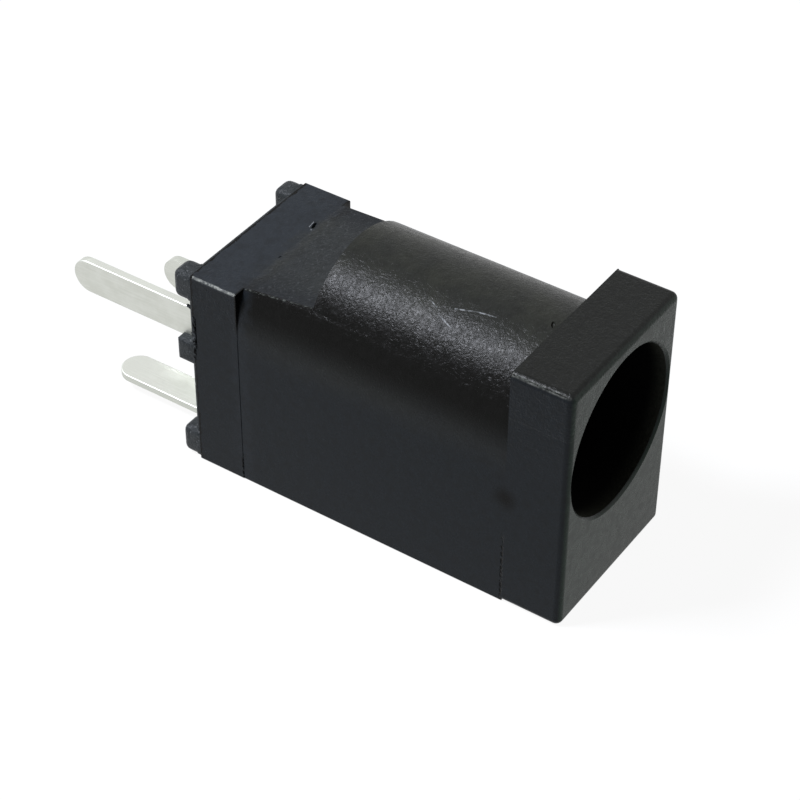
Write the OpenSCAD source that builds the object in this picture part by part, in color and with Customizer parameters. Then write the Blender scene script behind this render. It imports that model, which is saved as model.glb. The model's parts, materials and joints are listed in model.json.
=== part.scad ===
// DC power jack for a 5.5 mm plug, straight board-mount type, lying on its flat underside.
// +Z is up, the mouth faces -Y and the solder legs point along +Y.
// Every piece is drawn with y = 0 at the mouth, then moved so that the origin is under the
// middle of the whole jack. The near side is -X. All lengths are in millimetres.

/* [Plug bore] */
// Diameter of the round bore that takes the plug
bore_d = 6.4; // [6.0:0.1:6.8]
// Height of the bore's axis above the underside
bore_axis_z = 6.6; // [6.3:0.1:7.2]
// Depth of the bore, from the mouth to the bulkhead
bore_depth = 10.0; // [9.5:0.1:10.6]
// Width of the small bevel round the mouth
mouth_bevel = 0.1; // [0.05:0.05:0.15]

/* [Flange] */
// Thickness of the flange beside the bore, on each side
side_wall = 0.3; // [0.25:0.05:0.5]
// Thickness of the flange above the bore
top_wall = 0.6; // [0.4:0.05:1]
// Thickness of the flange, from front to back
flange_t = 2.4; // [1.5:0.1:3]
// Radius of the flange's four long edges
flange_corner_r = 0.2; // [0.05:0.01:0.5]
// Radius of the edges round the flange's front
front_edge_r = 0.15; // [0.05:0.01:0.2]

/* [Body] */
// Length of the housing, from the mouth to its rear rim
body_l = 15.7; // [15.3:0.1:17]
// How far the body's sides stand in from the flange and the band
side_reveal = 0.02; // [0.01:0.01:0.1]
// Distance from the bore's end to the step where the round top is cut down flat
step_back = 0.8; // [0.6:0.1:1.2]
// How far the flat stands above the band, at the step
flat_rise = 0.3; // [0.2:0.05:0.6]
// How far the flat stands above the band where it meets it
flat_end_rise = 0.05; // [0.02:0.01:0.15]
// Length of the square terminal band at the rear
band_l = 2.0; // [1.5:0.1:2.5]
// Thickness of the band above the rear chamber
band_top_wall = 0.45; // [0.4:0.05:0.8]
// Radius of the band's and the body's long edges
band_edge_r = 0.08; // [0.04:0.01:0.2]
// Thickness of the side walls round the rear chamber
wall = 0.4; // [0.3:0.05:0.5]
// Thickness of the wall under the spring and the rear chamber
floor_t = 0.5; // [0.4:0.05:0.8]
// Thickness of the bulkhead between the bore and the rear chamber
bulkhead_t = 1.2; // [1:0.1:1.4]
// Depth of the notch in the near wall's rim where the side leg comes out
rim_relief = 0.15; // [0.05:0.05:0.2]

/* [Rear base] */
// Thickness of the base's plate, which closes the rear rim
plate_t = 0.15; // [0.1:0.05:0.3]
// How far the plate's edge stands in from the housing's outside
plate_inset = 0.1; // [0.05:0.05:0.15]
// Height of the standoff pegs above the plate
peg_h = 0.7; // [0.4:0.05:1]
// Width of a standoff peg, across the jack
peg_w = 1.0; // [0.8:0.05:1.2]
// Height of a corner peg, up the jack
peg_tall = 1.22; // [1:0.02:1.4]
// Height of the peg beside the side leg
mid_peg_tall = 1.05; // [0.8:0.05:1.2]
// How far that peg covers the side leg's lower edge
mid_peg_cover = 0.15; // [0.05:0.05:0.3]
// How far the corner pegs stand in from the underside and from the band's top
peg_inset = 0.05; // [0.02:0.01:0.15]
// Radius of the lower edge of each peg's end
peg_toe_r = 0.35; // [0.15:0.05:0.4]
// Radius of a peg's other edges
peg_edge_r = 0.22; // [0.05:0.01:0.3]
// Gap all round between the base's plug and the chamber
fit_gap = 0.05; // [0.02:0.01:0.1]
// Thickness of the base's side walls
base_wall = 0.55; // [0.5:0.05:0.8]
// Thickness of the base's rear wall, inside the rim
base_rear_t = 1.1; // [0.8:0.1:1.3]
// Gap between a terminal and the slot that it passes through
slot_gap = 0.03; // [0.02:0.01:0.05]
// Gap between the riveted head and the base's hollow
rivet_gap = 0.1; // [0.05:0.05:0.15]

/* [Centre pin] */
// Diameter of the pin that enters the plug
pin_d = 2.0; // [1.6:0.05:2.5]
// How far the pin's tip stands back from the mouth
pin_recess = 2.2; // [1.5:0.1:3]
// Radius of the pin's rounded tip
pin_tip_r = 0.5; // [0.3:0.05:0.75]
// Diameter of the collar against the bulkhead
collar_d = 3.0; // [2.6:0.1:3.4]
// Thickness of the collar
collar_t = 0.5; // [0.3:0.05:0.8]
// Diameter of the tail through the bulkhead
tail_d = 1.4; // [1:0.1:1.6]
// Diameter of the head riveted over behind the centre terminal
rivet_d = 2.0; // [1.8:0.1:2.2]
// Height of the riveted head
rivet_h = 0.35; // [0.2:0.05:0.5]

/* [Solder legs] */
// Width of each solder leg, twice the radius of its round end
leg_w = 1.4; // [1.2:0.05:1.45]
// Length of the side leg beyond the pegs
side_leg_out = 5.05; // [3:0.05:6]
// Length of the floor leg beyond the pegs
floor_leg_out = 4.55; // [3:0.05:6]
// Length of the switch leg beyond the pegs
switch_leg_out = 4.75; // [3:0.05:6]

/* [Centre terminal] */
// Thickness of the centre terminal's strip
side_t = 0.35; // [0.25:0.05:0.4]
// How far the middle of the side leg lies below the bore's axis
side_leg_drop = 0.55; // [0.3:0.05:0.65]
// Diameter of the eye that the centre pin is riveted through
eye_d = 3.0; // [2.8:0.1:3.4]
// Gap between the eye and the ceiling of the rear chamber
eye_gap = 0.05; // [0.02:0.01:0.15]

/* [Sleeve spring] */
// Thickness of the sleeve spring's strip
spring_t = 0.3; // [0.2:0.05:0.35]
// Width of the sleeve spring's leaf
leaf_w = 2.2; // [1.8:0.1:2.4]
// Gap on each side of the leaf, in the channel under the bore
leaf_gap = 0.2; // [0.1:0.05:0.3]
// Distance from the mouth to the channel's front end
channel_y = 3.4; // [3:0.1:4]
// How far the spring's crest stands up into the bore, where it presses on the plug
crest_rise = 0.9; // [0.7:0.05:1.1]
// Distance from the crest to the bore's end
crest_back = 2.4; // [2:0.1:3]
// Distance of the floor leg's middle from the jack's middle, on the near side
floor_leg_x = 1.3; // [1.1:0.1:1.5]

/* [Switch contact] */
// Thickness of the switch contact's strip
switch_t = 0.35; // [0.25:0.05:0.4]
// Distance of the switch leg's inner face from the jack's middle, on the far side
switch_leg_x = 1.6; // [1.5:0.05:1.7]
// Height of the underside of the switch contact's tongue
tongue_z = 2.6; // [2.5:0.05:2.8]
// Gap between the tongue's end and the base's rear wall
tongue_gap = 0.3; // [0.1:0.05:0.6]

/* [Hidden] */
$fn = 64;
eps = 0.01; // how far a cut runs past a face
beyond = 1; // how far a cutting outline reaches past a piece

// Flange and body
flange_w = bore_d + 2 * side_wall;
flange_h = bore_axis_z + bore_d / 2 + top_wall;
arch_r = flange_w / 2 - side_reveal;
arch_z = flange_h - flange_w / 2; // height of the round top's axis
chamber_y = bore_depth + bulkhead_t;
chamber_w = flange_w - 2 * wall;
chamber_top_z = bore_axis_z + eye_d / 2 + eye_gap;
band_h = chamber_top_z + band_top_wall;
band_y = body_l - band_l;
step_y = bore_depth + step_back;

// Rear base and the plane where its pegs stand on the board
plate_y = body_l + plate_t;
seat_y = plate_y + peg_h;
overall_l = seat_y + max(side_leg_out, floor_leg_out, switch_leg_out);

// Centre terminal: the side leg's outer face lies against the chamber's near wall.
side_leg_z = bore_axis_z - side_leg_drop;
side_leg_x = -chamber_w / 2;
side_bend_r = side_t; // inner radius of the bend behind the bulkhead
terminal_y = chamber_y + side_t; // rear face of the centre terminal's eye

// The base's plug starts behind the centre terminal and is hollow as far as its rear wall.
base_y = terminal_y + slot_gap;
base_hollow_z0 = floor_t + 2 * spring_t + slot_gap;
base_hollow_z1 = bore_axis_z + rivet_d / 2 + rivet_gap;
base_hollow_y1 = body_l - base_rear_t;

// Sleeve spring
channel_w = leaf_w + 2 * leaf_gap;
channel_lip = 0.2; // how far the channel's sides rise past the edge of the bore
channel_top_z = bore_axis_z - sqrt(pow(bore_d / 2, 2) - pow(channel_w / 2, 2)) + channel_lip;
strip_z = floor_t + spring_t / 2; // height of the strip's middle along the floor
strip_lap = 1; // how far the leaf's strip laps over its wide pad
front_bend_r = 0.7;
front_bend_y = channel_y + front_bend_r + spring_t;
crest_y = bore_depth - crest_back;
crest_z = bore_axis_z - bore_d / 2 + crest_rise;
crest_r = 1.5;
crest_from = 125; // angles where the crest's arc starts and ends
crest_to = 65;
tail_gap = 0.3; // from the centre terminal to the start of the spring's straight tail
tail_lead = 0.5; // the tail's last bend starts this far before its straight part
tail_lift = 0.12; // and this far above it
tail_y = terminal_y + tail_gap;
near_pad_x = -floor_leg_x - leg_w / 2;
pad_y1 = base_hollow_y1; // rear end of the wide pad under the base

// Switch contact
tongue_step = 0.1; // from the start of the spring's tail to the tongue
tongue_in = 0.6; // how far the tongue reaches past the jack's middle, over the tail
tongue_y = tail_y + tongue_step;
tongue_y1 = base_hollow_y1 - tongue_gap;

// ---- shapes that repeat ----

// A rectangle from [x0, z0] to [x1, z1] with round corners.
module rounded_rect(x0, x1, z0, z1, r) {
    translate([x0 + r, z0]) square([x1 - x0 - 2 * r, z1 - z0]);
    translate([x0, z0 + r]) square([x1 - x0, z1 - z0 - 2 * r]);
    for (x = [x0 + r, x1 - r], z = [z0 + r, z1 - r])
        translate([x, z]) circle(r);
}

// Extrudes an outline drawn in x and z along +Y, from y0 to y1.
module along_y(y0, y1) {
    translate([0, y1, 0]) rotate([90, 0, 0]) linear_extrude(y1 - y0) children();
}

// Extrudes an outline drawn in y and z along +X, from x0 to x1.
module along_x(x0, x1) {
    translate([x0, 0, 0]) rotate([90, 0, 90]) linear_extrude(x1 - x0) children();
}

// Extrudes an outline drawn in x and y along +Z, from z0 to z1.
module along_z(z0, z1) {
    translate([0, 0, z0]) linear_extrude(z1 - z0) children();
}

module box(x0, x1, y0, y1, z0, z1) {
    translate([x0, y0, z0]) cube([x1 - x0, y1 - y0, z1 - z0]);
}

// A round bar or hole along Y on the bore's axis.
module on_axis(d, y0, y1) {
    translate([0, y1, bore_axis_z]) rotate([90, 0, 0]) cylinder(d = d, h = y1 - y0);
}

// Points on an arc from angle a0 to a1.
function arc(c, r, a0, a1, n = 10) =
    [for (i = [0:n]) let (a = a0 + (a1 - a0) * i / n) c + r * [cos(a), sin(a)]];

function unit(v) = v / norm(v);

// The direction across a path at point i, from the points beside it.
function across(path, i) =
    let (a = path[max(i - 1, 0)], b = path[min(i + 1, len(path) - 1)], d = unit(b - a))
    [-d[1], d[0]];

// The section of a sheet of thickness t whose middle follows a path.
module sheet(path, t) {
    one_side = [for (i = [0:len(path) - 1]) path[i] + across(path, i) * t / 2];
    other_side = [for (i = [len(path) - 1:-1:0]) path[i] - across(path, i) * t / 2];
    polygon(concat(one_side, other_side));
}

// A strip's outline from a0 to a tip at a1, with a full round end. Drawn along its first axis.
module round_ended(a0, a1, middle, w) {
    translate([a0, middle - w / 2]) square([a1 - a0 - w / 2, w]);
    translate([a1 - w / 2, middle]) circle(d = w);
}

// ---- housing ----

module flange() {
    far = flange_w + flange_h + body_l;
    intersection() {
        along_y(0, flange_t)
            rounded_rect(-flange_w / 2, flange_w / 2, 0, flange_h, flange_corner_r);
        along_x(-far, far) rounded_rect(0, far, 0, flange_h, front_edge_r);
        along_z(-far, far)
            rounded_rect(-flange_w / 2, flange_w / 2, 0, far, front_edge_r);
    }
}

// The body's section: flat sides and underside, and a top that is one half round.
module arch(r) {
    translate([0, arch_z]) circle(r);
    rounded_rect(-r, r, 0, arch_z + band_edge_r, band_edge_r);
}

module rear_flat_cut() {
    cut_top = flange_h + beyond;
    flat = [[step_y, band_h + flat_rise], [band_y + eps, band_h + flat_end_rise]];
    along_x(-flange_w, flange_w) polygon(concat(flat, [[band_y + eps, cut_top], [step_y, cut_top]]));
}

module body() {
    difference() {
        along_y(flange_t - eps, band_y + eps) arch(arch_r);
        rear_flat_cut();
    }
    along_y(band_y, body_l) rounded_rect(-flange_w / 2, flange_w / 2, 0, band_h, band_edge_r);
}

// The rear chamber's section. The base's plug is the same with a gap all round.
module chamber_outline(gap = 0) {
    intersection() {
        union() {
            translate([0, arch_z]) circle(chamber_w / 2 - gap);
            translate([-chamber_w / 2 + gap, floor_t + gap])
                square([chamber_w - 2 * gap, arch_z - floor_t - gap]);
        }
        translate([-chamber_w / 2, floor_t + gap])
            square([chamber_w, chamber_top_z - floor_t - 2 * gap]);
    }
}

module mouth_bevel_cut() {
    translate([0, mouth_bevel, bore_axis_z]) rotate([90, 0, 0])
        cylinder(d1 = bore_d, d2 = bore_d + 2 * (mouth_bevel + eps), h = mouth_bevel + eps);
}

module housing() {
    color("#2c2f31")
    difference() {
        union() {
            flange();
            body();
        }
        on_axis(bore_d, -eps, bore_depth);
        mouth_bevel_cut();
        on_axis(tail_d, bore_depth - eps, chamber_y + eps);
        box(-channel_w / 2, channel_w / 2, channel_y, chamber_y + eps, floor_t, channel_top_z);
        along_y(chamber_y, body_l + eps) chamber_outline();
        box(-flange_w, -chamber_w / 2 + eps, body_l - rim_relief, body_l + eps,
            side_leg_z - leg_w / 2, side_leg_z + leg_w / 2);
    }
}

// ---- rear base ----

// A standoff peg whose lower outer corner is at [x, z]. It stands on the housing's rim and on the
// plate, and its end's lower edge is the rounder one.
module peg(x, z, tall) {
    y0 = body_l;
    intersection() {
        along_y(y0, seat_y) rounded_rect(x, x + peg_w, z, z + tall, peg_edge_r);
        along_x(x - beyond, x + peg_w + beyond) intersection() {
            rounded_rect(y0 - beyond, seat_y, z, z + tall + beyond, peg_toe_r);
            rounded_rect(y0 - beyond, seat_y, z - beyond, z + tall, peg_edge_r);
        }
        along_z(z - beyond, z + tall + beyond)
            rounded_rect(x, x + peg_w, y0 - beyond, seat_y, peg_edge_r);
    }
}

module base_plug() {
    difference() {
        along_y(base_y, body_l + eps) chamber_outline(fit_gap);
        box(-chamber_w / 2 + fit_gap + base_wall, chamber_w / 2 - fit_gap - base_wall,
            base_y - eps, base_hollow_y1, base_hollow_z0, base_hollow_z1);
    }
}

module base_plate() {
    along_y(body_l, plate_y)
        rounded_rect(-flange_w / 2 + plate_inset, flange_w / 2 - plate_inset,
                     plate_inset, band_h - plate_inset, band_edge_r);
}

// The slots for the three legs, and the groove that clears the spring's pad.
module leg_slots() {
    g = slot_gap;
    past = seat_y + beyond;
    side_z0 = side_leg_z - leg_w / 2 - g;
    side_z1 = side_leg_z + leg_w / 2 + g;
    box(side_leg_x, side_leg_x + side_t + g, base_y - eps, past, side_z0, side_z1);
    box(side_leg_x, side_leg_x + side_t + side_bend_r + g, base_y - eps,
        terminal_y + side_bend_r + g, side_z0, side_z1);
    box(switch_leg_x, switch_leg_x + switch_t + g, base_hollow_y1 - eps, past,
        tongue_z, tongue_z + leg_w + g);
    box(near_pad_x - g, -floor_leg_x + leg_w / 2 + g, base_y - eps, past,
        floor_t, floor_t + spring_t);
    box(near_pad_x - g, leaf_w / 2 + g, base_y - eps, pad_y1 + g, floor_t, floor_t + spring_t);
}

module rear_base() {
    near_x = -flange_w / 2;
    far_x = flange_w / 2 - peg_w;
    mid_peg_z = side_leg_z - leg_w / 2 + mid_peg_cover - mid_peg_tall;
    color("#3b3e3e")
    difference() {
        union() {
            base_plug();
            base_plate();
            for (x = [near_x, far_x], z = [peg_inset, band_h - peg_inset - peg_tall])
                peg(x, z, peg_tall);
            peg(near_x, mid_peg_z, mid_peg_tall);
        }
        leg_slots();
    }
}

// ---- metal pieces ----

module centre_pin() {
    tip_y = pin_recess + pin_tip_r;
    flat_r = pin_d / 2 - pin_tip_r;
    color("#d9d6c6")
    union() {
        translate([0, tip_y, bore_axis_z]) rotate([90, 0, 0]) rotate_extrude()
            intersection() {
                square([pin_d / 2, pin_tip_r]);
                union() {
                    square([flat_r, pin_tip_r]);
                    translate([flat_r, 0]) circle(pin_tip_r);
                }
            }
        on_axis(pin_d, tip_y - eps, bore_depth);
        on_axis(collar_d, bore_depth - collar_t, bore_depth);
        on_axis(tail_d, bore_depth - eps, terminal_y + eps);
        on_axis(rivet_d, terminal_y, terminal_y + rivet_h);
    }
}

// An eye behind the bulkhead, an arm to the near wall, a bend, and the side leg.
module centre_terminal() {
    mid = side_t / 2;
    bend = side_bend_r + mid;
    arm_y = chamber_y + mid;
    leg_x = side_leg_x + mid;
    tip_y = seat_y + side_leg_out;
    path = concat([[0, arm_y]], arc([leg_x + bend, arm_y + bend], bend, 270, 180), [[leg_x, tip_y]]);
    color("#cfd1c6")
    difference() {
        union() {
            along_y(chamber_y, terminal_y) translate([0, bore_axis_z]) circle(d = eye_d);
            intersection() {
                along_z(side_leg_z - leg_w / 2, side_leg_z + leg_w / 2) sheet(path, side_t);
                along_x(-flange_w, flange_w) round_ended(0, tip_y, side_leg_z, leg_w);
            }
        }
        on_axis(tail_d, chamber_y - beyond, terminal_y + beyond);
    }
}

// The leaf: from its pad on the floor forward, round the front bend, over the crest into the
// bore and down to a tail under the switch contact.
function leaf_path() =
    let (z0 = strip_z)
    let (crest = crest_z - spring_t / 2, tail = tongue_z - spring_t / 2)
    concat([[base_y + strip_lap, z0]],
           arc([front_bend_y, z0 + front_bend_r], front_bend_r, 270, 90),
           arc([crest_y, crest - crest_r], crest_r, crest_from, crest_to),
           [[tail_y - tail_lead, tail + tail_lift], [tail_y, tail], [tongue_y1, tail]]);

module sleeve_spring() {
    tip_y = seat_y + floor_leg_out;
    color("#cdc9b4")
    union() {
        along_x(-leaf_w / 2, leaf_w / 2) sheet(leaf_path(), spring_t);
        along_z(floor_t, floor_t + spring_t) {
            translate([near_pad_x, base_y]) square([leaf_w / 2 - near_pad_x, pad_y1 - base_y]);
            rotate(90) round_ended(base_y, tip_y, floor_leg_x, leg_w);
        }
    }
}

// A blade on edge along the far side, with a tongue bent in over the spring's tail.
module switch_contact() {
    tip_y = seat_y + switch_leg_out;
    mid = switch_t / 2;
    bend = switch_t;
    blade_x = switch_leg_x + mid;
    low = tongue_z + mid;
    section = concat([[-tongue_in, low]], arc([blade_x - bend, low + bend], bend, 270, 360),
                     [[blade_x, tongue_z + leg_w]]);
    color("#c9ccc4")
    union() {
        along_y(tongue_y, tongue_y1) sheet(section, switch_t);
        along_x(switch_leg_x, switch_leg_x + switch_t)
            round_ended(tongue_y1 - eps, tip_y, tongue_z + leg_w / 2, leg_w);
    }
}

// Moves a piece from the mouth's place to the frame whose origin is under the jack's middle.
module in_frame() {
    translate([0, -overall_l / 2, 0]) children();
}

in_frame() housing();
in_frame() rear_base();
in_frame() centre_pin();
in_frame() centre_terminal();
in_frame() sleeve_spring();
in_frame() switch_contact();
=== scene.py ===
"""A board-mount DC barrel jack in moulded plastic and tinned strip, with its studio."""
import json
import math

import bpy
from bpy.props import FloatProperty, FloatVectorProperty, PointerProperty, StringProperty
from bpy.types import Operator, Panel, PropertyGroup
from mathutils import Matrix, Vector

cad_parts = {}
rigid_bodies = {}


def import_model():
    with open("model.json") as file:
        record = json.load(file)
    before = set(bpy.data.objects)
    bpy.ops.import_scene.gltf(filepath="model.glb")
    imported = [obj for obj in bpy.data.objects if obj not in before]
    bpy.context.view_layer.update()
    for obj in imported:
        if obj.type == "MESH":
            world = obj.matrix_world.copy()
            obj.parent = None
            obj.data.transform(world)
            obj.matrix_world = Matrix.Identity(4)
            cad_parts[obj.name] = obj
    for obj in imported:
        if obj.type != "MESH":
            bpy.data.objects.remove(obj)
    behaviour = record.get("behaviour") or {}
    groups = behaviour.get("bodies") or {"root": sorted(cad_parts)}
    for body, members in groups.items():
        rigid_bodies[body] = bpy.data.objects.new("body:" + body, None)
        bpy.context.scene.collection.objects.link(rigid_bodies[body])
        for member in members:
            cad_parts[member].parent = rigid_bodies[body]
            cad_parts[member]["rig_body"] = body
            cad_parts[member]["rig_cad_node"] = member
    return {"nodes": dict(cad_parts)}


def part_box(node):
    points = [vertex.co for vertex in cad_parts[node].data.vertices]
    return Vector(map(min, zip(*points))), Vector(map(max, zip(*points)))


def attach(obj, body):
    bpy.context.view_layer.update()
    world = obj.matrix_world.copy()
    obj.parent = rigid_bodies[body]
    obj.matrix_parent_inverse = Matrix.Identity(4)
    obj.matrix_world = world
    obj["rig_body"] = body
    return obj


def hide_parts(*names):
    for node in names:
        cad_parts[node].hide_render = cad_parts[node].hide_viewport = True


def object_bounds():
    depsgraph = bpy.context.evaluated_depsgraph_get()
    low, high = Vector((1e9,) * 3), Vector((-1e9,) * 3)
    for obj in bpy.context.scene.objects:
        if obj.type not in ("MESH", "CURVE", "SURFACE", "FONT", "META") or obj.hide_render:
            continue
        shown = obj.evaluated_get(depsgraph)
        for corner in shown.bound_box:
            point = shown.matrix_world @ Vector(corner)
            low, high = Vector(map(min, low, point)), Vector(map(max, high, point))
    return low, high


bl_info = {
    "name": "DC barrel jack",
    "version": (1, 0, 0),
    "blender": (4, 5, 0),
    "location": "3D View > Sidebar > Barrel jack",
    "description": "Dresses a board-mount barrel jack and sets up its studio",
    "category": "Object",
}

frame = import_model()
cad_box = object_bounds()
MM = 0.001
HOUSING_LOW, HOUSING_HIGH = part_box("housing")
BASE_LOW, BASE_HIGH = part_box("rear_base")
PIN_LOW, PIN_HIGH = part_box("centre_pin")

# Places along the jack. The flange, the round barrel, the flat and the square band follow one
# another from the mouth to the rear rim.
MOUTH = HOUSING_LOW.y
RIM = HOUSING_HIGH.y
FLANGE_BACK = MOUTH + 2.4 * MM
FLAT_START = MOUTH + 10.8 * MM
BAND_START = RIM - 2.0 * MM
PEG_SEAT = RIM + 0.17 * MM

# Places across and up the jack. The near side is -X.
NEAR = HOUSING_LOW.x
FAR = HOUSING_HIGH.x
FLANGE_TOP = HOUSING_HIGH.z
BAND_TOP = BASE_HIGH.z + 0.05 * MM
FLAT_TOP = BAND_TOP + 0.3 * MM
BORE_AXIS_Z = (PIN_LOW.z + PIN_HIGH.z) / 2
BORE_RADIUS = 3.2 * MM
BARREL_RADIUS = FAR - 0.02 * MM
BARREL_AXIS_Z = FLANGE_TOP - FAR

# The lower and the upper edge of the side leg
SIDE_LEG_LOW = 5.35 * MM
SIDE_LEG_HIGH = 6.75 * MM

# The four corner pegs: where they start across and up the jack, and how wide and tall they are
PEG_STARTS_X = (-3.5 * MM, 2.5 * MM)
PEG_STARTS_Z = (0.05 * MM, 7.33 * MM)
PEG_WIDE = 1.0 * MM
PEG_TALL = 1.22 * MM

NOISE = "ShaderNodeTexNoise"
MAP_RANGE = "ShaderNodeMapRange"
MATH = "ShaderNodeMath"
VECTOR_MATH = "ShaderNodeVectorMath"
SMOOTH = {"interpolation_type": "SMOOTHSTEP"}


# ---- colours, nodes and masks ----

def linear(hex_colour):
    """The linear colour of an sRGB hex value such as "#2c2f31"."""
    out = []
    for i in (1, 3, 5):
        c = int(hex_colour[i:i + 2], 16) / 255
        out.append(c / 12.92 if c <= 0.04045 else ((c + 0.055) / 1.055) ** 2.4)
    return (*out, 1.0)


def add_node(tree, kind, settings=None, inputs=None):
    """Adds a node. Settings are its own properties, and inputs are values or sockets to link."""
    made = tree.nodes.new(kind)
    for name, value in (settings or {}).items():
        setattr(made, name, value)
    for name, value in (inputs or {}).items():
        if isinstance(value, bpy.types.NodeSocket):
            tree.links.new(value, made.inputs[name])
        else:
            made.inputs[name].default_value = value
    return made


def blobs(place, size_mm, detail=2.0, roughness=0.5, distortion=0.0):
    """The inputs that give a noise blobs about size_mm across."""
    return {"Vector": place, "Scale": 1 / (size_mm * MM), "Detail": detail, "Roughness": roughness,
            "Distortion": distortion}


def within(tree, *parts):
    """A mask that is 1 where all its parts are. A part is a mask, a share, or a limit, which holds
    a value, where it is out, where it is in, and what is left of it where it is out, if anything."""
    mask = None
    for part in parts:
        if isinstance(part, tuple):
            value, out_at, in_at, *left = part
            part = add_node(tree, MAP_RANGE, SMOOTH, {
                "Value": value, "From Min": out_at, "From Max": in_at,
                "To Min": left[0] if left else 0.0}).outputs["Result"]
        mask = part if mask is None else add_node(
            tree, MATH, {"operation": "MULTIPLY"}, {0: mask, 1: part}).outputs[0]
    return mask


def around(value, middle, reach, soft):
    """The two limits that keep a value within reach of a middle."""
    return ((value, middle - reach - soft, middle - reach + soft),
            (value, middle + reach + soft, middle + reach - soft))


def either(tree, *masks):
    """A mask that is 1 where any of its masks is."""
    out = masks[0]
    for mask in masks[1:]:
        out = add_node(tree, MATH, {"operation": "MAXIMUM"}, {0: out, 1: mask}).outputs[0]
    return out


def painted(tree, colour, *coats):
    """A colour with coats over it, each a mask and an sRGB hex value."""
    for mask, hex_colour in coats:
        colour = add_node(tree, "ShaderNodeMix", {"data_type": "RGBA"}, {
            0: mask, 6: colour, 7: linear(hex_colour)}).outputs[2]
    return colour


def wavering(tree, value, noise, reach):
    """A length that a noise moves to and fro, by at most half the reach each way."""
    moved = add_node(tree, MATH, {"operation": "MULTIPLY_ADD"}, {0: noise, 1: reach, 2: value}).outputs[0]
    return add_node(tree, MATH, {"operation": "SUBTRACT"}, {0: moved, 1: reach / 2}).outputs[0]


def near_line(tree, place, axis, point, reach, soft):
    """1 near a line that runs along an axis through a point."""
    keep = [1.0, 1.0, 1.0]
    keep[axis] = 0.0
    there = [point[i] * keep[i] for i in range(3)]
    flat = add_node(tree, VECTOR_MATH, {"operation": "MULTIPLY"}, {0: place, 1: keep}).outputs[0]
    away = add_node(tree, VECTOR_MATH, {"operation": "DISTANCE"}, {0: flat, 1: there}).outputs["Value"]
    return within(tree, (away, reach + soft, reach - soft))


def scratch(tree, place, start, end, width):
    """1 near the straight stroke from start to end."""
    along = end - start
    rel = add_node(tree, VECTOR_MATH, {"operation": "SUBTRACT"}, {0: place, 1: start}).outputs[0]
    part = add_node(tree, VECTOR_MATH, {"operation": "DOT_PRODUCT"}, {
        0: rel, 1: along / along.length_squared}).outputs["Value"]
    part = add_node(tree, "ShaderNodeClamp", None, {"Value": part}).outputs[0]
    foot = add_node(tree, VECTOR_MATH, {"operation": "SCALE"}, {0: along, "Scale": part}).outputs[0]
    away = add_node(tree, VECTOR_MATH, {"operation": "DISTANCE"}, {0: rel, 1: foot}).outputs["Value"]
    return within(tree, (away, 1.5 * width, 0.5 * width))


# ---- modelling ----

def only(obj):
    """Deselects everything, then selects and activates one object."""
    bpy.ops.object.select_all(action="DESELECT")
    obj.select_set(True)
    bpy.context.view_layer.objects.active = obj


def apply_modifier(piece, name, kind, **settings):
    """Adds a modifier with its settings and applies it."""
    only(piece)
    modifier = piece.modifiers.new(name, kind)
    for key, value in settings.items():
        setattr(modifier, key, value)
    bpy.ops.object.modifier_apply(modifier=modifier.name)


def cut(piece, name, cutter):
    """Cuts a piece with a cutter, and throws the cutter away."""
    apply_modifier(piece, name, "BOOLEAN", operation="DIFFERENCE", solver="EXACT", object=cutter)
    bpy.data.objects.remove(cutter)


def copy_of_node(node, name):
    """A merged copy of a CAD node, free of the node's parent, ready to be worked on."""
    only(frame["nodes"][node])
    bpy.ops.object.duplicate()
    piece = bpy.context.active_object
    bpy.ops.object.parent_clear(type="CLEAR_KEEP_TRANSFORM")
    piece.name = name
    piece.data.name = name
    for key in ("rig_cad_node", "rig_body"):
        if key in piece:
            del piece[key]
    piece.data.materials.clear()
    only(piece)
    bpy.ops.object.mode_set(mode="EDIT")
    bpy.ops.mesh.select_all(action="SELECT")
    bpy.ops.mesh.remove_doubles(threshold=0.0005 * MM)
    bpy.ops.mesh.dissolve_limited(angle_limit=math.radians(0.2))
    bpy.ops.object.mode_set(mode="OBJECT")
    if piece.data.has_custom_normals:
        bpy.ops.mesh.customdata_custom_splitnormals_clear()
    return piece


def soften_edges(piece, width, segments=2, edge_slot=-1):
    """Rounds the sharp edges a little. The new faces can take a material slot of their own."""
    apply_modifier(piece, "edges", "BEVEL", width=width, segments=segments, limit_method="ANGLE",
                   angle_limit=math.radians(35), miter_outer="MITER_ARC", material=edge_slot)


def shade(piece):
    """Smooth shading that leaves the flats flat."""
    only(piece)
    bpy.ops.object.shade_smooth_by_angle(angle=math.radians(30))
    apply_modifier(piece, "even shading", "WEIGHTED_NORMAL", keep_sharp=True)


def give_slot(piece, index, wanted):
    """Gives a material slot to each face that a test picks by its middle and its normal."""
    for face in piece.data.polygons:
        if wanted(face.center, face.normal):
            face.material_index = index


def block(low, high, radius=0.0):
    """A box between two corners, with all its edges and corners rounded alike if asked."""
    bpy.ops.object.select_all(action="DESELECT")
    bpy.ops.mesh.primitive_cube_add(size=1.0, location=(low + high) / 2, scale=high - low)
    made = bpy.context.active_object
    bpy.ops.object.transform_apply(location=True, rotation=True, scale=True)
    if radius:
        apply_modifier(made, "rounding", "BEVEL", width=radius, segments=6)
    return made


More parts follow.
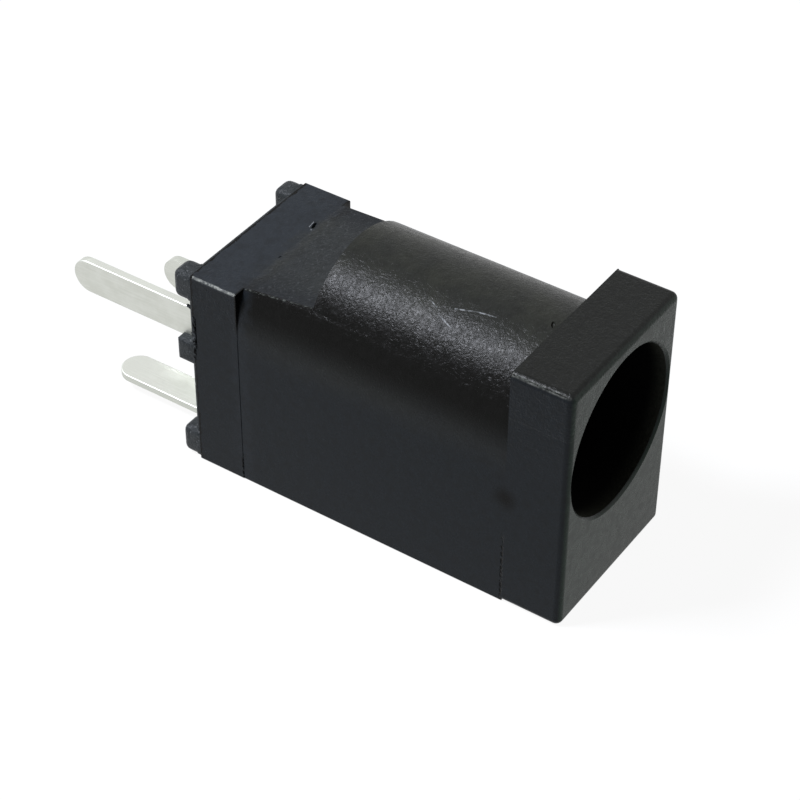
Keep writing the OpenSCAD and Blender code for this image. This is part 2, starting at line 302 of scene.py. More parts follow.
def round_end(piece, low, high, deep, start, radius):
    """Rounds the corners of a block-like end of a piece into parts of a ball. The end fills the box
    from low to high. It is worked on up to the length start where deep is positive, and from there
    on where deep is negative, and deep is how far the rounding form runs on into the piece."""
    margin = Vector((1, 1, 1)) * 0.001 * MM
    reach = Vector((1, 1, 1)) * 0.3 * MM
    form_low = Vector(low) - margin
    form_high = Vector(high) + margin
    waste_low = form_low - reach
    waste_high = form_high + reach
    if deep > 0:
        form_high.y += deep
        waste_high.y = start
    else:
        form_low.y += deep
        waste_low.y = start
    waste = block(waste_low, waste_high)
    cut(waste, "form", block(form_low, form_high, radius))
    cut(piece, "rounded end", waste)


def dent(piece, place, size, turn=0.0):
    """Cuts a small pit with a squashed ball, turned about the vertical."""
    bpy.ops.object.select_all(action="DESELECT")
    bpy.ops.mesh.primitive_ico_sphere_add(subdivisions=2, radius=0.5, location=place,
                                          rotation=(0, 0, math.radians(turn)), scale=size)
    cutter = bpy.context.active_object
    bpy.ops.object.transform_apply(location=True, rotation=True, scale=True)
    cut(piece, "pit", cutter)


def bead(start, end, width, raggedness, material):
    """A thin ragged bead of flash from start to end."""
    start = Vector(start)
    end = Vector(end)
    along = end - start
    bpy.ops.object.select_all(action="DESELECT")
    bpy.ops.mesh.primitive_cylinder_add(vertices=8, radius=0.5, depth=1.0)
    piece = bpy.context.active_object
    piece.scale = (width, width, along.length)
    piece.rotation_euler = along.to_track_quat("Z", "Y").to_euler()
    piece.location = (start + end) / 2
    bpy.ops.object.transform_apply(location=True, rotation=True, scale=True)
    bpy.ops.object.mode_set(mode="EDIT")
    bpy.ops.mesh.select_all(action="DESELECT")
    bpy.ops.object.mode_set(mode="OBJECT")
    for edge in piece.data.edges:
        a, b = (piece.data.vertices[i].co for i in edge.vertices)
        edge.select = (b - a).length > 0.8 * along.length
    bpy.ops.object.mode_set(mode="EDIT")
    bpy.ops.mesh.select_mode(type="EDGE")
    bpy.ops.mesh.subdivide(number_cuts=min(int(along.length / (0.035 * MM)), 95))
    bpy.ops.object.mode_set(mode="OBJECT")
    clouds = bpy.data.textures.new("flash", "CLOUDS")
    clouds.noise_scale = 0.16 * MM
    clouds.noise_depth = 2
    apply_modifier(piece, "ragged", "DISPLACE", texture=clouds, texture_coords="LOCAL", strength=raggedness,
                   mid_level=0.5)
    piece.data.materials.append(material)
    only(piece)
    bpy.ops.object.shade_smooth()
    return piece


def join_to(piece, parts):
    """Joins small parts to a piece."""
    bpy.ops.object.select_all(action="DESELECT")
    for part in (*parts, piece):
        part.select_set(True)
    bpy.context.view_layer.objects.active = piece
    bpy.ops.object.join()


def finish_piece(piece, node):
    """Puts a finished piece in the place of a CAD node."""
    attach(piece, "root")
    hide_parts(node)


def on_barrel(along, angle, lift=0.0):
    """A point on the barrel, at a length from the mouth in millimetres and an angle from +X."""
    turn = math.radians(angle)
    radius = BARREL_RADIUS + lift
    return Vector((radius * math.cos(turn), MOUTH + along * MM, BARREL_AXIS_Z + radius * math.sin(turn)))


def on_band(across, along):
    """A point on the band's top, in millimetres across the jack and back from the band's front."""
    return Vector((across * MM, BAND_START + along * MM, BAND_TOP))


def near_side_of_barrel(height):
    """Where the barrel's round is on the near side, at a height up the jack."""
    return -math.sqrt(BARREL_RADIUS ** 2 - (height - BARREL_AXIS_Z) ** 2)


# Bright scratches on the barrel and at the gouge's lip: start, end and width
SCRATCHES = (
    (on_barrel(5.95, 113), on_barrel(5.2, 109.5), 0.022 * MM),
    (on_barrel(5.2, 109.5), on_barrel(4.5, 108), 0.022 * MM),
    (on_barrel(6.9, 114), on_barrel(6.55, 116.5), 0.02 * MM),
    (on_barrel(6.35, 120), on_barrel(5.75, 124), 0.022 * MM),
    (on_band(1.28, 0.26), on_band(1.62, 0.31), 0.014 * MM),
    (on_band(1.17, 0.1), on_band(1.2, 0.12), 0.03 * MM),
)

# The gouge and the pit on the band's top, and the pit beside the flange: place, size and turn
DENTS = (
    (on_band(1.45, 0.16) + Vector((0, 0, 0.02 * MM)), Vector((0.42, 0.15, 0.3)) * MM, 12),
    (on_band(-0.8, 0.03) + Vector((0, 0, 0.03 * MM)), Vector((0.17, 0.13, 0.24)) * MM, 0),
    (on_barrel(2.62, 98, 0.01 * MM), Vector((0.34, 0.16, 0.22)) * MM, 30),
)


# ---- materials ----

def new_material(name):
    """An empty material and its node tree."""
    mat = bpy.data.materials.new(name)
    mat.use_nodes = True
    mat.node_tree.nodes.clear()
    return mat, mat.node_tree


def surface(tree, colour, roughness, height, depth, constants):
    """Gives a material its bumpy surface. Constants are set on the shader's own sockets."""
    bump = add_node(tree, "ShaderNodeBump", None, {"Strength": 1.0, "Distance": depth, "Height": height})
    shader = add_node(tree, "ShaderNodeBsdfPrincipled", None, {
        "Base Color": colour, "Roughness": roughness, "Normal": bump.outputs["Normal"], **constants})
    add_node(tree, "ShaderNodeOutputMaterial", None, {"Surface": shader.outputs[0]})


def black_moulding(f):
    """Black PBT from a spark-eroded mould: satin, with a fine crazed grain that breaks up the
    light on the barrel, smoother sides and band, and edges worn pale by rubbing, with a highlight
    painted on them too. Shade is painted on the sides, the barrel's lower flanks, the flange, the
    notch and the rim, and a greenish light on the front."""
    mat, tree = new_material("moulded_pbt_black")
    place = add_node(tree, "ShaderNodeTexCoord").outputs["Object"]
    x, y, z = add_node(tree, "ShaderNodeSeparateXYZ", None, {0: place}).outputs
    across = add_node(tree, MATH, {"operation": "ABSOLUTE"}, {0: x}).outputs[0]
    waver = add_node(tree, NOISE, None, blobs(place, 0.5, 3.0, 0.6)).outputs["Fac"]
    y_band = wavering(tree, y, waver, 1.2 * MM)

    # Where each kind of surface is. The band's colour runs out slowly on to the flat.
    # The front, which takes a greenish painted light
    front = within(tree, (y, MOUTH + 0.13 * MM, MOUTH + 0.03 * MM))
    flange = within(tree, (y, FLANGE_BACK + 0.05 * MM, FLANGE_BACK - 0.01 * MM))
    # The flange's top, which takes painted shade
    shaded_flange_top = within(tree, flange, (z, FLANGE_TOP - 0.22 * MM, FLANGE_TOP - 0.02 * MM))
    band = within(tree, (y_band, BAND_START - 0.7 * MM, BAND_START + 0.5 * MM))
    # The band's sides, which take painted shade
    shaded_band_side = within(tree, band, (z, BAND_TOP - 0.06 * MM, BAND_TOP - 0.18 * MM))
    top = within(tree, (z, BAND_TOP - 0.11 * MM, BAND_TOP - 0.01 * MM))
    # The low sides, which take painted shade
    shaded_low_side = within(tree, (z, BARREL_AXIS_Z + 1.2 * MM, BARREL_AXIS_Z - 1.2 * MM))
    # The barrel's lower flanks, which take painted shade
    shaded_flank = within(tree, (z, BARREL_AXIS_Z - 1.2 * MM, BARREL_AXIS_Z + 1.2 * MM),
                   (across, 1.4 * MM, 2.8 * MM))
    flat = within(tree, (y, FLAT_START - 0.04 * MM, FLAT_START),
                  (y_band, BAND_START + 0.5 * MM, BAND_START - 0.7 * MM),
                  (z, BAND_TOP - 0.07 * MM, BAND_TOP + 0.03 * MM),
                  near_line(tree, place, 1, (0, 0, BARREL_AXIS_Z), BARREL_RADIUS - 0.03 * MM, 0.02 * MM))

    # Fine pale specks, thick on the flat and thin elsewhere on top
    specks = add_node(tree, NOISE, None, blobs(place, 0.12)).outputs["Fac"]
    flat_specks = within(tree, flat, (specks, 0.56, 0.72), 0.10)
    top_specks = within(tree, top, (specks, 0.60, 0.76), 0.05)
    all_specks = add_node(tree, MATH, {"operation": "ADD"}, {0: flat_specks, 1: top_specks}).outputs[0]

    # The near top edges of the flange and the band, worn pale by rubbing in places, with the
    # highlight that their rounding catches painted on as well
    rubbing = add_node(tree, NOISE, None, blobs(place, 0.22, 3.0, 0.7)).outputs["Fac"]
    flange_edge = within(
        tree, flange, near_line(tree, place, 1, (NEAR, 0, FLANGE_TOP), 0.12 * MM, 0.05 * MM))
    band_edge = within(
        tree, (y, BAND_START - 0.1 * MM, BAND_START + 0.1 * MM),
        near_line(tree, place, 1, (NEAR, 0, BAND_TOP), 0.07 * MM, 0.03 * MM))
    rubbed_and_highlit = within(tree, either(tree, flange_edge, band_edge), (rubbing, 0.38, 0.62, 0.15))

    # Dark lines: dotted seams low on the sides; painted shade in the notch where the band meets the
    # body and along the ragged rim; and a dark spot where the flange meets the near side
    dots = add_node(tree, NOISE, None, blobs(place, 0.13, 1.0)).outputs["Fac"]
    band_seam = within(tree, *around(y, BAND_START, 0.03 * MM, 0.015 * MM), (z, 1.5 * MM, 0.9 * MM))
    flange_seam = within(tree, *around(y, FLANGE_BACK + 0.02 * MM, 0.05 * MM, 0.02 * MM),
                         (z, 3.4 * MM, 2.6 * MM))
    seams = within(tree, either(tree, band_seam, flange_seam), (dots, 0.42, 0.55),
                   (across, 3.25 * MM, 3.35 * MM))
    notch = within(tree, *around(y, BAND_START, 0.05 * MM, 0.03 * MM), (across, 2.85 * MM, 3.05 * MM),
                   (z, BARREL_AXIS_Z - 0.1 * MM, BARREL_AXIS_Z + 0.5 * MM))
    chips = add_node(tree, NOISE, None, blobs(place, 0.4, 4.0, 0.7)).outputs["Fac"]
    rim = within(tree, (wavering(tree, y, chips, 0.34 * MM), RIM - 0.078 * MM, RIM - 0.062 * MM))
    dark_spot = within(tree, near_line(tree, place, 0, (0, FLANGE_BACK, 4.9 * MM), 0.35 * MM, 0.35 * MM),
                    (x, NEAR + 0.4 * MM, NEAR + 0.2 * MM))

    # Bright scratches that skip here and there
    skips = add_node(tree, NOISE, None, blobs(place, 0.15)).outputs["Fac"]
    strokes = within(tree, either(tree, *(scratch(tree, place, *stroke) for stroke in SCRATCHES)),
                     (skips, 0.4, 0.6, 0.2))

    # Olive on top and cooler on the band, blotched all over. Painted shade makes the sides, the
    # band's sides and the flange cooler and darker, the barrel's lower flanks near black and the
    # flange's top darker; a greenish painted light lies on the front
    clouds = add_node(tree, NOISE, None, blobs(place, 1.6, 3.0, 0.55)).outputs["Fac"]
    mottle = add_node(tree, NOISE, None, blobs(place, 0.35, 4.0, 0.65)).outputs["Fac"]
    colour = painted(
        tree, linear(f.barrel_colour),
        (within(tree, (clouds, 0.35, 0.65)), f.barrel_patch),
        (shaded_flank, f.shaded_flank_colour),
        (shaded_low_side, f.shaded_side_colour),
        (either(tree, band, within(tree, flat, 0.5)), f.band_colour),
        (shaded_band_side, f.shaded_side_colour),
        (flange, f.shaded_side_colour),
        (shaded_flange_top, f.shaded_flange_top_colour),
        (front, f.lit_front_colour),
        (within(tree, (mottle, 0.40, 0.70), 0.35), f.blotch_colour),
        (all_specks, f.speck_colour),
        (rubbed_and_highlit, f.rubbed_and_highlit_colour),
        (either(tree, seams, notch, rim, dark_spot), f.seam_and_shade_colour),
        (strokes, f.scratch_colour))

    # Grain: crazed worms with a finer layer on them, full on top, half on the flanks and faint on
    # the sides and the band. The seams are cut into it.
    worms = add_node(tree, NOISE, None, blobs(place, 0.2, 3.0, 0.62, 1.4)).outputs["Fac"]
    fine = add_node(tree, NOISE, None, blobs(place, 0.065, 2.0, 0.6)).outputs["Fac"]
    amount = add_node(tree, MATH, {"operation": "ADD"}, {
        0: 0.22, 1: within(tree, top, (band, 1.0, 0.0))}).outputs[0]
    amount = add_node(tree, MATH, {"operation": "MULTIPLY_ADD"}, {0: shaded_flank, 1: 0.5, 2: amount}).outputs[0]
    amount = add_node(tree, MATH, {"operation": "MINIMUM"}, {0: amount, 1: 1.0}).outputs[0]
    height = add_node(tree, MATH, {"operation": "MULTIPLY_ADD"}, {0: fine, 1: 0.35, 2: worms}).outputs[0]
    height = add_node(tree, MATH, {"operation": "MULTIPLY"}, {0: height, 1: amount}).outputs[0]
    height = add_node(tree, MATH, {"operation": "MULTIPLY_ADD"}, {0: seams, 1: -2.0, 2: height}).outputs[0]

    # Satin where the mottling is low, duller where it is high and on the flat
    dull = add_node(tree, MAP_RANGE, SMOOTH, {
        "Value": mottle, "From Min": 0.3, "From Max": 0.7, "To Min": 0.24, "To Max": 0.34}).outputs["Result"]
    dull = add_node(tree, MATH, {"operation": "MULTIPLY_ADD"}, {0: flat, 1: 0.12, 2: dull}).outputs[0]
    surface(tree, colour, dull, height, f.grain_depth, {"Specular IOR Level": 0.09})
    return mat


def shaded_bore(f):
    """The bore's wall, drawn off a polished core: dull, painted near black as the shade deep in the
    bore, and painted a little paler just inside the mouth as the light that falls there.
    """
    mat, tree = new_material("shaded_bore_pbt_black")
    place = add_node(tree, "ShaderNodeTexCoord").outputs["Object"]
    y = add_node(tree, "ShaderNodeSeparateXYZ", None, {0: place}).outputs[1]
    grain = add_node(tree, NOISE, None, blobs(place, 0.12, 3.0, 0.6)).outputs["Fac"]
    # A pool of light painted on the wall just inside the mouth
    lip = within(tree, (y, MOUTH + 0.8 * MM, MOUTH), (grain, 0.3, 0.7, 0.6))
    colour = painted(tree, linear(f.bore_shade_colour), (lip, f.lit_lip_colour))
    surface(tree, colour, 0.7, grain, 0.5 * f.grain_depth, {"Specular IOR Level": 0.02})
    return mat


def flash_plastic(name, colour, pale):
    """Thin ragged flash: rough and dark, with pale spots painted on as highlights."""
    mat, tree = new_material(name)
    place = add_node(tree, "ShaderNodeTexCoord").outputs["Object"]
    spots = add_node(tree, NOISE, None, blobs(place, 0.12, 3.0, 0.65)).outputs["Fac"]
    skin = add_node(tree, NOISE, None, blobs(place, 0.08)).outputs["Fac"]
    colour = painted(tree, linear(colour), (within(tree, (spots, 0.42, 0.66)), pale))
    surface(tree, colour, 0.75, skin, 0.02 * MM, {"Specular IOR Level": 0.05})
    return mat


def base_moulding(f):
    """The base's own PBT: a greyer black with a coarse, mottled skin and pale specks."""
    mat, tree = new_material("moulded_pbt_base")
    place = add_node(tree, "ShaderNodeTexCoord").outputs["Object"]
    mottle = add_node(tree, NOISE, None, blobs(place, 0.2, 4.0, 0.7)).outputs["Fac"]
    specks = add_node(tree, NOISE, None, blobs(place, 0.1, 1.0)).outputs["Fac"]
    skin = add_node(tree, NOISE, None, blobs(place, 0.16, 3.0, 0.65, 0.8)).outputs["Fac"]
    colour = painted(tree, linear(f.base_colour),
                     (within(tree, (mottle, 0.35, 0.65)), f.base_patch),
                     (within(tree, (specks, 0.66, 0.74), 0.45), f.speck_colour))
    height = add_node(tree, MATH, {"operation": "MULTIPLY_ADD"}, {0: mottle, 1: 0.5, 2: skin}).outputs[0]
    dull = add_node(tree, MAP_RANGE, SMOOTH, {
        "Value": mottle, "From Min": 0.3, "From Max": 0.7, "To Min": 0.3, "To Max": 0.48}).outputs["Result"]
    surface(tree, colour, dull, height, 2.2 * f.grain_depth, {"Specular IOR Level": 0.15})
    return mat


def plated_metal(name, colour, clouded, roughness):
    """Tin or nickel plating: soft satin, with faint streaks along the metal and cloudy spots. The
    real rolling lines are finer than these, which are drawn coarse enough to show."""
    mat, tree = new_material(name)
    place = add_node(tree, "ShaderNodeTexCoord").outputs["Object"]
    drawn_out = add_node(tree, "ShaderNodeMapping", None, {"Vector": place, "Scale": (1.0, 0.06, 1.0)})
    streaks = add_node(tree, NOISE, None, blobs(drawn_out.outputs[0], 0.08, 2.0, 0.6)).outputs["Fac"]
    clouds = add_node(tree, NOISE, None, blobs(place, 0.9, 3.0, 0.6)).outputs["Fac"]
    both = add_node(tree, MATH, {"operation": "MULTIPLY"}, {0: clouds, 1: 0.6}).outputs[0]
    both = add_node(tree, MATH, {"operation": "MULTIPLY_ADD"}, {0: streaks, 1: 0.4, 2: both}).outputs[0]
    dull = add_node(tree, MAP_RANGE, SMOOTH, {
        "Value": both, "From Min": 0.35, "From Max": 0.65, "To Min": roughness - 0.05,
        "To Max": roughness + 0.07}).outputs["Result"]
    colour = painted(tree, linear(colour), (within(tree, (both, 0.38, 0.62)), clouded))
    surface(tree, colour, dull, streaks, 0.0012 * MM, {"Metallic": 1.0})
    return mat


# ---- sizes and colours ----

def colour_of(name, description, default):
    """A colour property, kept as an sRGB hex value."""
    return StringProperty(name=name, description=description, default=default)


class JackFinish(PropertyGroup):
    """Colours and small sizes of the jack's finish, with the shade, light and highlights painted on it."""
    barrel_colour: colour_of("Barrel", "Top of the barrel", "#272823")
    barrel_patch: colour_of("Barrel patches", "Cloudy patches on the barrel", "#222320")
    # Painted shade: the sides of the body, the band and the flange are painted darker and cooler than the
    # top
    shaded_side_colour: colour_of("Sides", "Flat sides of the body", "#13171a")
    # Painted shade: the barrel's lower flanks are painted near black
    shaded_flank_colour: colour_of("Flanks", "Lower flanks of the barrel", "#060605")
    # Painted shade: the flange's top is painted darker than the barrel's
    shaded_flange_top_colour: colour_of("Flange", "Top of the flange", "#181917")
    band_colour: colour_of("Band", "Square band at the rear", "#23272b")
    # Painted light: a greenish tint on the flange's front face
    lit_front_colour: colour_of("Front", "Front face of the flange", "#1b261f")
    # Painted shade in the bore, and painted light on the bore's wall just inside the mouth
    bore_shade_colour: colour_of("Bore", "The bore's wall", "#040404")
    lit_lip_colour: colour_of("Bore's lip", "The bore's wall just inside the mouth", "#2b2c26")
    blotch_colour: colour_of("Blotches", "Dark blotches all over the housing", "#0c0c0b")
    speck_colour: colour_of("Specks", "Pale specks in the grain", "#6a6c6d")
    # Dark seams, painted shade in the notch and along the ragged rim, and a dark spot by the flange
    seam_and_shade_colour: colour_of("Dark lines", "Seams, the notch, the ragged rim and the smudge", "#020202")
    # Worn pale by rubbing, with a painted highlight on those edges too
    rubbed_and_highlit_colour: colour_of("Rubbed edges", "Edges that are rubbed pale", "#83857f")
    scratch_colour: colour_of("Scratches", "Scratches on the barrel", "#7c7f80")
    # The flash on the housing, with pale spots painted on it as highlights
    top_flash: colour_of("Top flash", "Hollows of the flash on the housing", "#1d1e1c")
    top_flash_highlights: colour_of("Pale top flash", "Raised spots of the flash on the housing", "#4c4f4b")
    # Painted shade: the flash at the side leg is near black, with pale spots painted on as highlights
    leg_flash_shade: colour_of("Leg flash", "Hollows of the flash at the side leg", "#050505")
    leg_flash_highlights: colour_of("Pale leg flash", "Raised spots of the flash at the side leg", "#46494a")
    base_colour: colour_of("Base", "The base and its pegs", "#1a1e20")
    base_patch: colour_of("Base patches", "Paler patches of the base", "#272a2b")
    strip_colour: colour_of("Strip", "Tin plating", "#cfd1ca")
    strip_shadow: colour_of("Strip clouds", "Dull clouds in the plating", "#c6c8c0")
    sheared_colour: colour_of("Sheared edges", "Sheared edges of the strip", "#c3c6be")
    burnished_colour: colour_of("Burnished corners", "Corners of the strip", "#c4c6c0")
    pin_colour: colour_of("Pin", "Nickel plating of the pin", "#d8d5ca")
    pin_shadow: colour_of("Pin clouds", "Dull clouds in the pin's plating", "#cbc8bc")
    grain_depth: FloatProperty(name="Grain depth", description="Depth of the moulded grain",
                               default=0.022 * MM, unit="LENGTH", precision=6)
    moulded_edge: FloatProperty(name="Moulded edge", description="Radius of a sharp moulded edge",
                                default=0.03 * MM, unit="LENGTH", precision=6)
    stamped_edge: FloatProperty(name="Stamped edge", description="Radius of a stamped edge",
                                default=0.04 * MM, unit="LENGTH", precision=6)
    flange_corner: FloatProperty(name="Flange corner", description="Radius of the flange's front corners",
                                 default=0.28 * MM, unit="LENGTH", precision=6)
    peg_corner: FloatProperty(name="Peg corner", description="Radius of the corner pegs' corners",
                              default=0.3 * MM, unit="LENGTH", precision=6)


class JackStudio(PropertyGroup):
    """The camera and the lights."""
    azimuth: FloatProperty(name="Azimuth", description="Camera's angle round the jack",
                           default=math.radians(-56.0), subtype="ANGLE")
    elevation: FloatProperty(name="Elevation", description="Camera's angle above the floor",
                             default=math.radians(40.2), subtype="ANGLE")
    roll: FloatProperty(name="Roll", description="Camera's turn about its own axis",
                        default=math.radians(0.43), subtype="ANGLE")
    distance: FloatProperty(name="Distance", description="Camera's distance from the point it looks at",
                            default=0.08567, unit="LENGTH", precision=5)
    lens: FloatProperty(name="Lens", description="Camera's focal length", default=108.28, unit="CAMERA")
    aim: FloatVectorProperty(name="Aim", description="Point that the camera looks at",
                             default=(-0.001114, -0.002476, 0.004769), subtype="XYZ", precision=6)
    front_power: FloatProperty(name="Front light", description="Power of the front light", default=0.15,
                               unit="POWER")
    rear_power: FloatProperty(name="Rear light", description="Power of the rear light", default=1.1,
                              unit="POWER")
    floor_colour: colour_of("Floor", "Colour of the floor", "#f4f4f4")


# ---- pieces ----

class JACK_OT_housing(Operator):
    """Dresses the moulded housing, with its pits and ragged edges"""
    bl_idname = "jack.housing"
    bl_label = "Housing"

    def execute(self, context):
        f = context.scene.jack_finish
        piece = copy_of_node("housing", "moulded_housing")
        soften_edges(piece, f.moulded_edge)
        round_end(piece, (NEAR, MOUTH, HOUSING_LOW.z), (FAR, FLANGE_BACK, FLANGE_TOP), deep=5 * MM,
                  start=FLANGE_BACK, radius=f.flange_corner)
        for place, size, turn in DENTS:
            dent(piece, place, size, turn)
        shade(piece)
        # Flash with pale spots painted on as highlights, for the beads along the flat and the flange's edge
        flash = flash_plastic("flash_painted_highlights", f.top_flash, f.top_flash_highlights)
        for material in (black_moulding(f), shaded_bore(f), flash):
            piece.data.materials.append(material)
        # The bore's wall takes the second material, with its painted shade and painted light
        give_slot(piece, 1, lambda c, n: math.hypot(c.x, c.z - BORE_AXIS_Z) < BORE_RADIUS + 0.02 * MM
                  and MOUTH + 0.02 * MM < c.y < PIN_HIGH.y)
        flat_bead = bead(
            (near_side_of_barrel(FLAT_TOP) + 0.02 * MM, FLAT_START + 0.05 * MM, FLAT_TOP - 0.03 * MM),
            (near_side_of_barrel(BAND_TOP) + 0.02 * MM, BAND_START - 0.1 * MM, BAND_TOP + 0.02 * MM),
            width=0.06 * MM, raggedness=0.07 * MM, material=flash)
        flange_bead = bead(
            (NEAR + 0.09 * MM, MOUTH + 0.35 * MM, FLANGE_TOP - 0.09 * MM),
            (NEAR + 0.09 * MM, FLANGE_BACK - 0.03 * MM, FLANGE_TOP - 0.09 * MM),
            width=0.06 * MM, raggedness=0.05 * MM, material=flash)
        join_to(piece, (flat_bead, flange_bead))
        finish_piece(piece, "housing")
        return {"FINISHED"}


class JACK_OT_base(Operator):
    """Dresses the rear base, its pegs and the flash at the side leg"""
    bl_idname = "jack.base"
    bl_label = "Rear base"

    def execute(self, context):
        f = context.scene.jack_finish
        piece = copy_of_node("rear_base", "moulded_base")
        for x in PEG_STARTS_X:
            for z in PEG_STARTS_Z:
                round_end(piece, (x, RIM, z), (x + PEG_WIDE, BASE_HIGH.y, z + PEG_TALL), deep=-2 * MM,
                          start=PEG_SEAT, radius=f.peg_corner)
        soften_edges(piece, f.moulded_edge)
        shade(piece)
        # Near-black flash at the side leg: painted shade in the gap round the leg, with painted highlights
        # in spots
        flash = flash_plastic("flash_in_painted_shade", f.leg_flash_shade, f.leg_flash_highlights)
        for material in (base_moulding(f), flash):
            piece.data.materials.append(material)
        # The beads in the notch and at the leg's root stand for the shade in the gap at the side leg
        notch_bead = bead(
            (NEAR + 0.05 * MM, RIM - 0.02 * MM, SIDE_LEG_LOW - 0.6 * MM),
            (NEAR + 0.05 * MM, RIM - 0.02 * MM, SIDE_LEG_HIGH),
            width=0.15 * MM, raggedness=0.16 * MM, material=flash)
        root_bead = bead(
            (NEAR + 0.42 * MM, RIM, SIDE_LEG_HIGH + 0.06 * MM),
            (NEAR + 0.42 * MM, RIM + 0.55 * MM, SIDE_LEG_HIGH + 0.03 * MM),
            width=0.16 * MM, raggedness=0.2 * MM, material=flash)
        join_to(piece, (notch_bead, root_bead))
        finish_piece(piece, "rear_base")
        return {"FINISHED"}


class JACK_OT_metal(Operator):
    """Dresses the pin, the terminals and the spring"""
    bl_idname = "jack.metal"
    bl_label = "Metal pieces"

    def execute(self, context):
        f = context.scene.jack_finish
        tin = plated_metal("tinned_strip", f.strip_colour, f.strip_shadow, roughness=0.42)
        sheared = plated_metal("sheared_strip_edge", f.sheared_colour, f.strip_shadow, roughness=0.42)
        corner = plated_metal("burnished_corner", f.burnished_colour, f.strip_colour, roughness=0.52)
        nickel = plated_metal("turned_nickel", f.pin_colour, f.pin_shadow, roughness=0.18)
        # Each piece with its main metal, its slot and the axis that its strip's wide faces look along.
        # Past the base's face, the strip's narrow faces are sheared edges.
        for node, metal, slot, wide_axis in (("centre_terminal", tin, "leg_tin", 0),
                                             ("sleeve_spring", tin, "spring_tin", 2),
                                             ("switch_contact", tin, "leg_tin", 0),
                                             ("centre_pin", nickel, "pin_nickel", None)):
            piece = copy_of_node(node, "plated_" + node)
            for material in (metal, sheared, corner):
                piece.data.materials.append(material)
            corner_slot = -1 if wide_axis is None else 2
            if wide_axis is not None:
                give_slot(piece, 1, lambda c, n: abs(n[wide_axis]) < 0.5 and c.y > BASE_LOW.y + 3 * MM)
            soften_edges(piece, f.stamped_edge, 3, corner_slot)
            shade(piece)
            finish_piece(piece, node)
        return {"FINISHED"}


# ---- studio ----

def area_light(name, direction, distance, size, power, colour="#ffffff"):
    """A soft square lamp that faces the middle of the jack from a direction."""
    bpy.ops.object.light_add(type="AREA")
    lamp = bpy.context.active_object
    lamp.name = name
    lamp.data.shape = "RECTANGLE"
    lamp.data.size = size
    lamp.data.size_y = size
    lamp.data.energy = power
    lamp.data.color = linear(colour)[:3]
    away = Vector(direction).normalized()
    lamp.location = (cad_box[0] + cad_box[1]) / 2 + away * distance
    lamp.rotation_euler = (-away).to_track_quat("-Z", "Y").to_euler()
    lamp.visible_camera = False


def white_card(tree, plain, white, share):
    """A shader that is plain white to the camera and in reflections, and plain to other rays."""
    path = add_node(tree, "ShaderNodeLightPath").outputs
    seen = either(tree, path["Is Camera Ray"], path["Is Glossy Ray"], path["Is Transmission Ray"])
    seen = add_node(tree, MATH, {"operation": "MULTIPLY"}, {0: seen, 1: share}).outputs[0]
    return add_node(tree, "ShaderNodeMixShader", None, {
        0: seen, 1: plain.outputs[0], 2: white.outputs[0]}).outputs[0]


def look_from(studio):
    """The camera's way back from the point it looks at, and its turn."""
    back = Vector((math.sin(studio.azimuth) * math.cos(studio.elevation),
                   -math.cos(studio.azimuth) * math.cos(studio.elevation), math.sin(studio.elevation)))
    right = (-back).cross(Vector((0, 0, 1))).normalized()
    turn = Matrix.Rotation(-studio.roll, 3, -back)
    up = turn @ right.cross(-back)
    return back, Matrix((turn @ right, up, back)).transposed().to_euler()


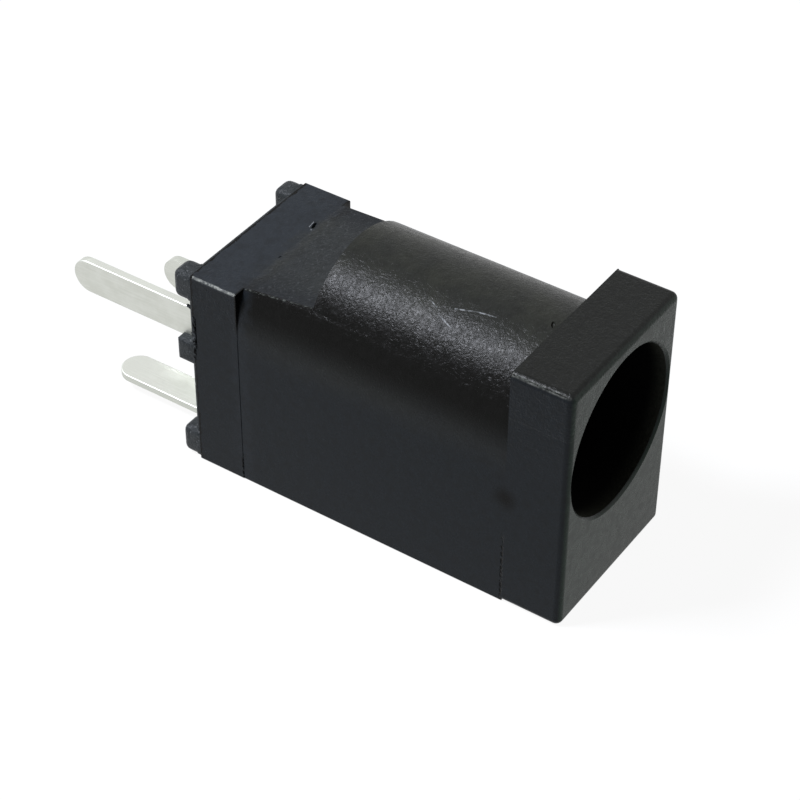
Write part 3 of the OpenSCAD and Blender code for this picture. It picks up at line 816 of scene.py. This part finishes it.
class JACK_OT_stage(Operator):
    """Sets the floor, the white surroundings, the lights and the camera"""
    bl_idname = "jack.stage"
    bl_label = "Stage"

    def execute(self, context):
        s = context.scene.jack_studio
        bpy.ops.object.select_all(action="DESELECT")
        bpy.ops.mesh.primitive_plane_add(size=2.0, location=(0, 0, cad_box[0].z - 0.02 * MM))
        floor = context.active_object
        floor.name = "floor"
        bpy.ops.object.transform_apply(location=True)
        # Matt white card. It keeps the jack's shadow, and shows plain white to the eye.
        mat, tree = new_material("white_card")
        card = add_node(tree, "ShaderNodeBsdfDiffuse", None, {"Color": linear(s.floor_colour)})
        glow = add_node(tree, "ShaderNodeEmission", None, {"Strength": 1.0})
        add_node(tree, "ShaderNodeOutputMaterial", None, {"Surface": white_card(tree, card, glow, 0.93)})
        floor.data.materials.append(mat)

        world = bpy.data.worlds.new("studio")
        context.scene.world = world
        world.use_nodes = True
        tree = world.node_tree
        tree.nodes.clear()
        soft = add_node(tree, "ShaderNodeBackground", None, {"Color": (1, 1, 1, 1), "Strength": 0.08})
        white = add_node(tree, "ShaderNodeBackground", None, {"Color": (1, 1, 1, 1), "Strength": 1.0})
        add_node(tree, "ShaderNodeOutputWorld", None, {"Surface": white_card(tree, soft, white, 1.0)})

        area_light("front_softbox", (0.45, -0.85, 0.3), 0.25, 0.2, s.front_power)
        area_light("rear_softbox", (-0.36, 0.43, 0.83), 0.25, 0.055, s.rear_power, "#f1f4ff")

        back, facing = look_from(s)
        bpy.ops.object.camera_add(location=Vector(s.aim) + back * s.distance, rotation=facing)
        camera = context.active_object
        camera.data.sensor_width = 36.0
        camera.data.lens = s.lens
        camera.data.clip_start = 0.001
        camera.data.clip_end = 10.0
        context.scene.camera = camera
        context.scene.view_settings.view_transform = "Standard"
        return {"FINISHED"}


# ---- add-on ----

OPERATORS = (JACK_OT_housing, JACK_OT_base, JACK_OT_metal, JACK_OT_stage)
GROUPS = (JackFinish, JackStudio)


class JACK_PT_panel(Panel):
    """Lists the jack's operators"""
    bl_label = "Barrel jack"
    bl_space_type = "VIEW_3D"
    bl_region_type = "UI"
    bl_category = "Barrel jack"

    def draw(self, context):
        for operator in OPERATORS:
            self.layout.operator(operator.bl_idname)


def register():
    for cls in (*GROUPS, *OPERATORS, JACK_PT_panel):
        bpy.utils.register_class(cls)
    bpy.types.Scene.jack_finish = PointerProperty(type=JackFinish)
    bpy.types.Scene.jack_studio = PointerProperty(type=JackStudio)


def unregister():
    del bpy.types.Scene.jack_studio
    del bpy.types.Scene.jack_finish
    for cls in reversed((*GROUPS, *OPERATORS, JACK_PT_panel)):
        bpy.utils.unregister_class(cls)


def main():
    register()
    bpy.ops.jack.housing()
    bpy.ops.jack.base()
    bpy.ops.jack.metal()
    bpy.ops.jack.stage()


if __name__ == "__main__":
    main()
